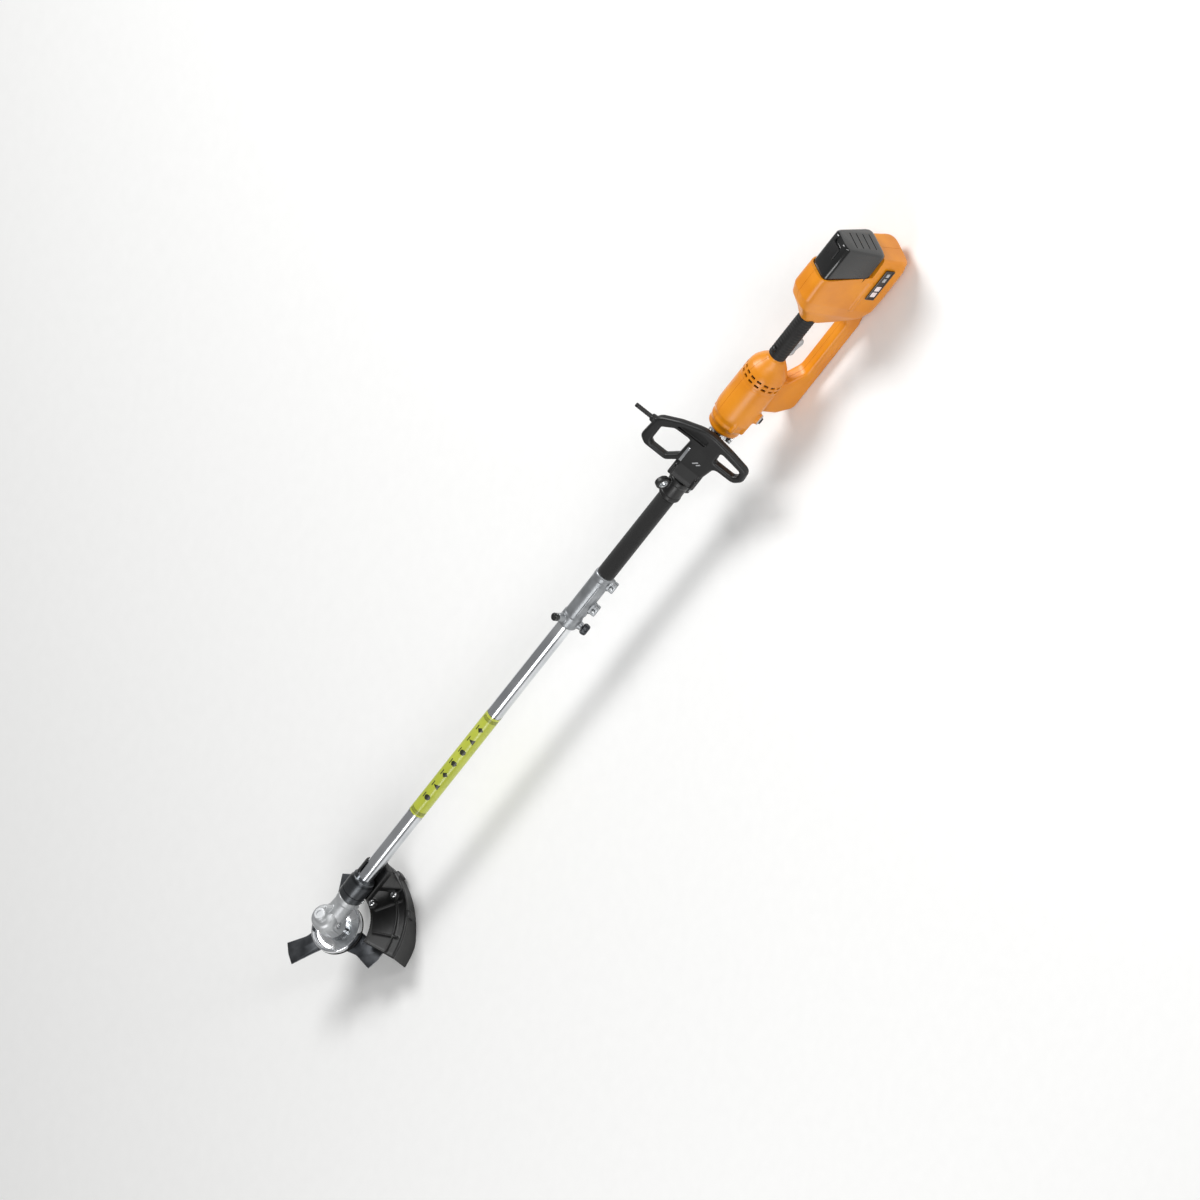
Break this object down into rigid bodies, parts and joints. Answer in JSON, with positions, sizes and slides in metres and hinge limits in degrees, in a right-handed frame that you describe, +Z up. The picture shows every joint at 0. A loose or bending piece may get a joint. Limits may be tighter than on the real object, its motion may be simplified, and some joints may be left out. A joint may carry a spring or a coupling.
{
  "type": "string trimmer",
  "caption": "Battery brush cutter with a D-handled motor unit, loop front handle, split shaft with coupler, gear head, toothed metal blade and guard.",
  "frame": {"origin": "middle of the bounding box's bottom face, on the ground under the resting tool", "axes": "+X forward along the shaft to the blade, +Y the tool's left, +Z up"},
  "size_m": [1.8426, 0.2106, 0.219],
  "materials": {
    "yellow_nylon": "satin moulded",
    "black_nylon": "satin moulded",
    "gloss_black": "gloss moulded",
    "grey_nylon": "satin moulded",
    "soft_rubber": "soft overmould",
    "foam": "closed-cell foam",
    "polished_tube": "bright polished",
    "bright_chrome": "mirror chrome",
    "cast_aluminium": "die cast",
    "dark_aluminium": "dark anodised",
    "blade_steel": "dark blade steel",
    "zinc_steel": "zinc plated",
    "bearing_steel": "ground",
    "motor_steel": "lacquered laminations",
    "cell_wrap": "shrink wrap over cells",
    "circuit_board": "solder mask"
  },
  "bodies": {
    "handle_unit": {"housing_left": "yellow_nylon", "housing_right": "yellow_nylon", "housing_screw_1": "zinc_steel", "housing_screw_2": "zinc_steel", "grip_cover": "soft_rubber", "trigger_pin": "zinc_steel", "power_switch": "black_nylon", "motor_can": "motor_steel", "front_bearing": "bearing_steel", "rear_bearing": "bearing_steel", "nose_collar": "bright_chrome", "collar_screw": "zinc_steel", "upper_tube": "polished_tube", "foam_grip": "foam", "hanger_clamp": "black_nylon", "hanger_screw": "zinc_steel", "coupler_body": "cast_aluminium", "front_ear_screw": "zinc_steel", "rear_ear_screw": "zinc_steel", "terminal_block": "black_nylon", "control_board": "circuit_board", "status_panel": "gloss_black"},
    "trigger_lever": {"trigger": "grey_nylon"},
    "lock_button": {"lock_off_button": "black_nylon"},
    "speed_key": {"speed_button": "black_nylon"},
    "motor_drive": {"motor_rotor": "motor_steel", "cooling_fan": "black_nylon", "shaft_coupling": "bearing_steel", "upper_drive_shaft": "bearing_steel"},
    "front_handle": {"loop_handle": "black_nylon", "loop_clamp_cap": "black_nylon", "loop_screw_1": "zinc_steel", "loop_screw_2": "zinc_steel", "loop_screw_3": "zinc_steel", "loop_screw_4": "zinc_steel", "barrier_rod": "black_nylon"},
    "lock_knob": {"coupler_knob": "dark_aluminium"},
    "shaft_pin": {"release_pin": "black_nylon"},
    "lower_unit": {"lower_tube": "polished_tube", "shaft_bushing": "black_nylon", "gear_head": "cast_aluminium", "pinion_bearing": "bearing_steel", "spindle_bearing": "bearing_steel", "spindle_top_bearing": "bearing_steel", "guard": "black_nylon", "guard_collar": "dark_aluminium", "guard_bolt_1": "zinc_steel", "guard_bolt_2": "zinc_steel"},
    "lower_drive": {"lower_drive_shaft": "bearing_steel", "drive_pinion": "bearing_steel"},
    "blade_set": {"output_spindle": "bearing_steel", "bevel_gear": "bearing_steel", "upper_flange": "bright_chrome", "cutting_blade": "blade_steel", "lower_flange": "zinc_steel", "blade_nut": "zinc_steel"},
    "battery": {"battery_case": "gloss_black", "battery_lid": "black_nylon", "cell_pack": "cell_wrap"},
    "latch_key": {"battery_latch": "black_nylon"}
  },
  "joints": [
    {"name": "lower_unit_slide", "type": "slide", "parent": "handle_unit", "child": "lower_unit", "axis": [1, 0, 0], "range_m": [0, 0.08]},
    {"name": "blade_spin", "type": "hinge", "parent": "lower_unit", "child": "blade_set", "pos_m": [0.8137, -0.0157, 0.1], "axis": [-0.454, 0, 0.891], "continuous": true},
    {"name": "lower_drive_spin", "type": "hinge", "parent": "lower_unit", "child": "lower_drive", "pos_m": [0.4137, -0.0157, 0.1], "axis": [1, 0, 0], "continuous": true},
    {"name": "motor_drive_spin", "type": "hinge", "parent": "handle_unit", "child": "motor_drive", "pos_m": [-0.3863, -0.0157, 0.1], "axis": [1, 0, 0], "continuous": true},
    {"name": "trigger_pull", "type": "hinge", "parent": "handle_unit", "child": "trigger_lever", "pos_m": [-0.6383, -0.0157, 0.096], "axis": [0, 1, 0], "range_deg": [0, 9], "stiffness_Nm_per_rad": 0.6, "springref_deg": -8.59},
    {"name": "lock_off_press", "type": "slide", "parent": "handle_unit", "child": "lock_button", "axis": [0, 0, -1], "range_m": [0, 0.0025], "stiffness_N_per_m": 300, "springref_m": -0.002},
    {"name": "speed_press", "type": "slide", "parent": "handle_unit", "child": "speed_key", "axis": [0, -0.766, 0.6428], "range_m": [0, 0.0015], "stiffness_N_per_m": 400, "springref_m": -0.002},
    {"name": "battery_slide", "type": "slide", "parent": "handle_unit", "child": "battery", "axis": [-1, 0, 0], "range_m": [0, 0.13]},
    {"name": "latch_press", "type": "slide", "parent": "battery", "child": "latch_key", "axis": [0, 0, -1], "range_m": [0, 0.0025], "stiffness_N_per_m": 500, "springref_m": -0.002},
    {"name": "loop_swivel", "type": "hinge", "parent": "handle_unit", "child": "front_handle", "pos_m": [-0.3623, -0.0157, 0.1], "axis": [1, 0, 0], "range_deg": [-25, 25]},
    {"name": "knob_turn", "type": "hinge", "parent": "handle_unit", "child": "lock_knob", "pos_m": [0.0357, 0.00269, 0.08457], "axis": [0, 0.766, -0.6428], "range_deg": [0, 360]},
    {"name": "pin_pull", "type": "slide", "parent": "handle_unit", "child": "shaft_pin", "axis": [0, 0, 1], "range_m": [0, 0.004], "stiffness_N_per_m": 500, "springref_m": -0.003}
  ],
  "couplings": [
    {"joint": "lower_drive_spin", "follows": "blade_spin", "ratio": 1.3333},
    {"joint": "motor_drive_spin", "follows": "blade_spin", "ratio": 1.3333}
  ]
}
